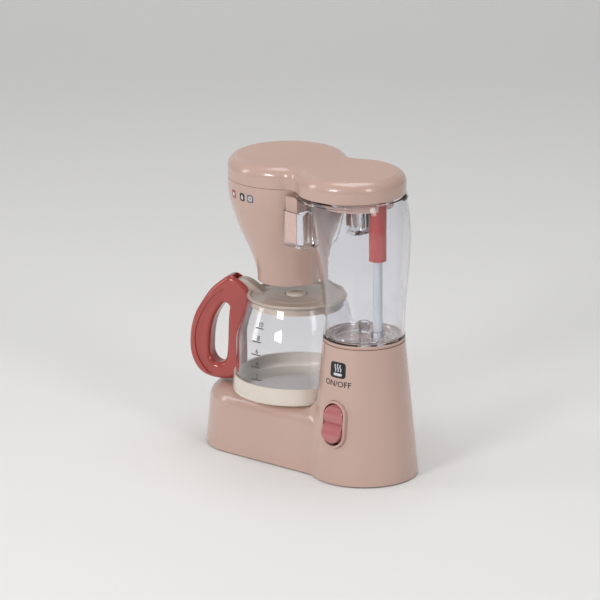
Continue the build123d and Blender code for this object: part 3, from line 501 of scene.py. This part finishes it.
# ---------------------------------------------------------------- prints laid on the walls
WALLS = {
    "panel": {"node": "body_shell", "axis": TOWER, "body": "base"},
    "head": {"node": "brew_head", "axis": HEAD, "body": "head"},
    "carafe": {"node": "carafe_glass", "axis": CARAFE, "body": "carafe"},
}
for wall in WALLS.values():
    mesh = NODES[wall["node"]].data
    mesh.calc_loop_triangles()
    wall["tree"] = BVHTree.FromPolygons(
        [v.co.copy() for v in mesh.vertices],
        [tuple(t.vertices) for t in mesh.loop_triangles],
    )
OUTSIDE = 0.2           # metres from an axis, past every wall
ON_WALL = 0.06 * MM     # gap between a wall and a print on it
ON_STICKER = 0.2 * MM   # the same for a mark on the panel's sticker
ON_TILE = 0.18 * MM     # the same for a mark on a tile of the head


def surface(wall, azimuth, z):
    """Point and normal on a wall's outside, at azimuth right of the front."""
    out = Vector((math.sin(azimuth), -math.cos(azimuth), 0))
    start = Vector((wall["axis"].x, wall["axis"].y, z)) + out * OUTSIDE
    hit, normal, _, _ = wall["tree"].ray_cast(start, -out)
    if normal.dot(out) < 0:
        normal = -normal
    return hit, normal


def printed(name, bm, wall, degrees, height, material, lift=ON_WALL):
    """Lays flat artwork (x across, y up, z out) on a wall and lets it ride.

    Its middle is at degrees right of the front and at height in mm.
    """
    place = WALLS[wall]
    azimuth = math.radians(degrees)
    z = height * MM
    axis = Vector((place["axis"].x, place["axis"].y, z))
    radius = (surface(place, azimuth, z)[0] - axis).length
    for v in bm.verts:
        point, normal = surface(place, azimuth + v.co.x / radius, z + v.co.y)
        v.co = point + normal * (v.co.z + lift)
    obj = new_object(name, bm, material)
    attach(obj, place["body"])


STICKER_TURN = 9                    # degrees right of the front
STICKER_HEIGHT = 84.2               # of its middle above the floor
STICKER_SIZE = (13.2, 11.4, 2.2)    # width, height and corner radius
STICKER_DEPTH = 0.12
STEAM = ((-2.0, 4.0), (0.2, 4.4), (2.4, 4.0))   # where each line is and how high it reaches
STEAM_FOOT = -1.2
STEAM_SWING = 0.5
STEAM_WIDTH = 0.95
HOB_SIZE = (7.2, 2.0, 0.9)
HOB_PLACE = (0.2, -3.2)
WORDS_HEIGHT = 74.3
WORDS_SIZE = 4.0
WORDS_WIDEN = 1.1
PANEL_DEPTH = 0.05


def panel_prints():
    """Dark sticker with steam over a hot plate, and ON/OFF above the switch."""
    plate = filled(rounded_rect(*STICKER_SIZE), STICKER_DEPTH)
    printed("panel_sticker", plate, "panel", STICKER_TURN, STICKER_HEIGHT, INK["black"])
    marks = [stroke(wave(x, STEAM_FOOT, top, STEAM_SWING), STEAM_WIDTH) for x, top in STEAM]
    marks.append(shifted(rounded_rect(*HOB_SIZE), *HOB_PLACE))
    for i, mark in enumerate(marks):
        printed(f"panel_mark_{i}", filled(mark, PANEL_DEPTH), "panel", STICKER_TURN, STICKER_HEIGHT,
                INK["pale"], lift=ON_STICKER)
    words = lettering("ON/OFF", WORDS_SIZE, PANEL_DEPTH, widen=WORDS_WIDEN)
    printed("panel_on_off", words, "panel", STICKER_TURN, WORDS_HEIGHT, INK["dark"])


TILE_PLACE = 197.2      # middle of the tiles above the floor
TILE_HEIGHT = 5.8
TILE_CORNER = 1.2
TILE_DEPTH = 0.1
MARK_DEPTH = 0.04
DIAL_RADII = (1.9, 1.1)
DOT_RADIUS = 0.55
CUP_SIZE = (3.2, 2.6, 1.0)
DROP = [(0, 2.3), (0.55, 1.1), (1.15, 0.1), (1.3, -0.7), (0.95, -1.45), (0.3, -1.8),
        (-0.3, -1.8), (-0.95, -1.45), (-1.3, -0.7), (-1.15, 0.1), (-0.55, 1.1)]


def head_prints():
    """Three small tiles on the brew head: a ring with a dot, a drop and a cup."""
    dial = [ring(*DIAL_RADII, MARK_DEPTH), filled(disc(DOT_RADIUS), MARK_DEPTH)]
    drop = [filled(DROP, MARK_DEPTH)]
    cup = [filled(rounded_rect(*CUP_SIZE), MARK_DEPTH)]
    tiles = (("grey", 8.4, 5.5, dial), ("black", -2.1, 4.9, drop), ("red", -16.5, 5.6, cup))
    for colour, degrees, width, marks in tiles:
        tile = filled(rounded_rect(width, TILE_HEIGHT, TILE_CORNER), TILE_DEPTH)
        printed(f"head_tile_{colour}", tile, "head", degrees, TILE_PLACE, INK[colour])
        for i, mark in enumerate(marks):
            printed(f"head_mark_{colour}_{i}", mark, "head", degrees, TILE_PLACE, INK["pale"],
                    lift=ON_TILE)


SCALE_MARKS = 5
SCALE_TURN = 5.5        # degrees right of the front
SCALE_LOW = 63.5        # height of the lowest line
SCALE_STEP = 9.4
LINE_WIDTH = 9.6
LINE_LESS = 0.5         # how much narrower each line is than the one below
LINE_THICK = 0.75
LINE_CORNER = 0.3
NUMBER_SIZE = 3.3
NUMBER_TURN = 7.0
NUMBER_RISE = 2.7       # middle of a number above its line


def carafe_scale():
    """Lines with the numbers 2 to 10 above them."""
    for i in range(SCALE_MARKS):
        height = SCALE_LOW + SCALE_STEP * i
        width = LINE_WIDTH - LINE_LESS * i
        line = filled(rounded_rect(width, LINE_THICK, LINE_CORNER), MARK_DEPTH)
        printed(f"scale_line_{i}", line, "carafe", SCALE_TURN, height, INK["dark"])
        number = lettering(str(2 * i + 2), NUMBER_SIZE, MARK_DEPTH)
        printed(f"scale_number_{i}", number, "carafe", NUMBER_TURN, height + NUMBER_RISE, INK["dark"])


panel_prints()
head_prints()
carafe_scale()


# ---------------------------------------------------------------- camera, as in the photograph
RIGHT = Vector((0.6805, 0.7327, -0.0068)).normalized()
AHEAD = Vector((-0.7031, 0.6504, -0.2875)).normalized()
EYE = (TOWER.x + 1.8428, -1.7667, 0.8951)
LENS = 224.57
SENSOR = 36


def photo_camera():
    """Camera at EYE that looks along AHEAD."""
    data = bpy.data.cameras.new("camera")
    data.sensor_width = SENSOR
    data.lens = LENS
    data.clip_end = 20
    camera = bpy.data.objects.new("camera", data)
    bpy.context.scene.collection.objects.link(camera)
    up = RIGHT.cross(AHEAD).normalized()
    turned = Matrix((RIGHT, up, -AHEAD)).transposed().to_4x4()
    camera.matrix_world = Matrix.Translation(EYE) @ turned
    bpy.context.scene.camera = camera


# ---------------------------------------------------------------- floor and light
FLOOR_FRONT = -3.0      # metres along the view, from the object
BEND_START = 1.2
BEND_RADIUS = 0.8
WALL_TOP = 4.0
HALF_WIDTH = 4
BEND_STEPS = 12


def backdrop():
    """Pale floor that curves up into a wall behind the object."""
    bm = bmesh.new()
    back = Vector((AHEAD.x, AHEAD.y, 0)).normalized()
    side = Vector((back.y, -back.x, 0))
    profile = [(FLOOR_FRONT, 0.0), (BEND_START, 0.0)]
    for i in range(1, BEND_STEPS + 1):
        a = math.radians(90 * i / BEND_STEPS)
        profile.append((BEND_START + BEND_RADIUS * math.sin(a), BEND_RADIUS - BEND_RADIUS * math.cos(a)))
    profile.append((BEND_START + BEND_RADIUS, WALL_TOP))
    rows = [[bm.verts.new(back * d + side * w + Vector((0, 0, h))) for d, h in profile]
            for w in (-HALF_WIDTH, HALF_WIDTH)]
    for i in range(len(profile) - 1):
        bm.faces.new((rows[0][i], rows[0][i + 1], rows[1][i + 1], rows[1][i]))
    obj = new_object("floor", bm, paint("floor_paint", (238, 237, 235)))


AIM = Vector((0, 0, 0.11))      # middle of the object
SKY_STRENGTH = 0.3


def softbox(name, place, width, height, watts):
    """Rectangular area lamp that faces the object's middle."""
    light = bpy.data.lights.new(name, "AREA")
    light.shape = "RECTANGLE"
    light.size = width
    light.size_y = height
    light.energy = watts
    obj = bpy.data.objects.new(name, light)
    bpy.context.scene.collection.objects.link(obj)
    obj.location = place
    obj.rotation_euler = (AIM - Vector(place)).to_track_quat("-Z", "Y").to_euler()


def studio_world():
    """Dim, even light from all sides."""
    world = bpy.data.worlds.new("studio")
    world.use_nodes = True
    sky = world.node_tree.nodes["Background"]
    sky.inputs["Color"].default_value = linear((236, 238, 242))
    sky.inputs["Strength"].default_value = SKY_STRENGTH
    bpy.context.scene.world = world


backdrop()
softbox("key", (0.243, -1.53, 0.8), width=0.42, height=0.42, watts=9)
softbox("fill", (1.7, -0.2, 0.9), width=0.4, height=0.9, watts=6)
softbox("left", (-1.2, -1.25, 0.7), width=0.35, height=0.9, watts=4.5)
softbox("top", (0.0, 0.1, 1.9), width=1.2, height=1.2, watts=15)
studio_world()
photo_camera()
bpy.context.scene.view_settings.view_transform = "Standard"
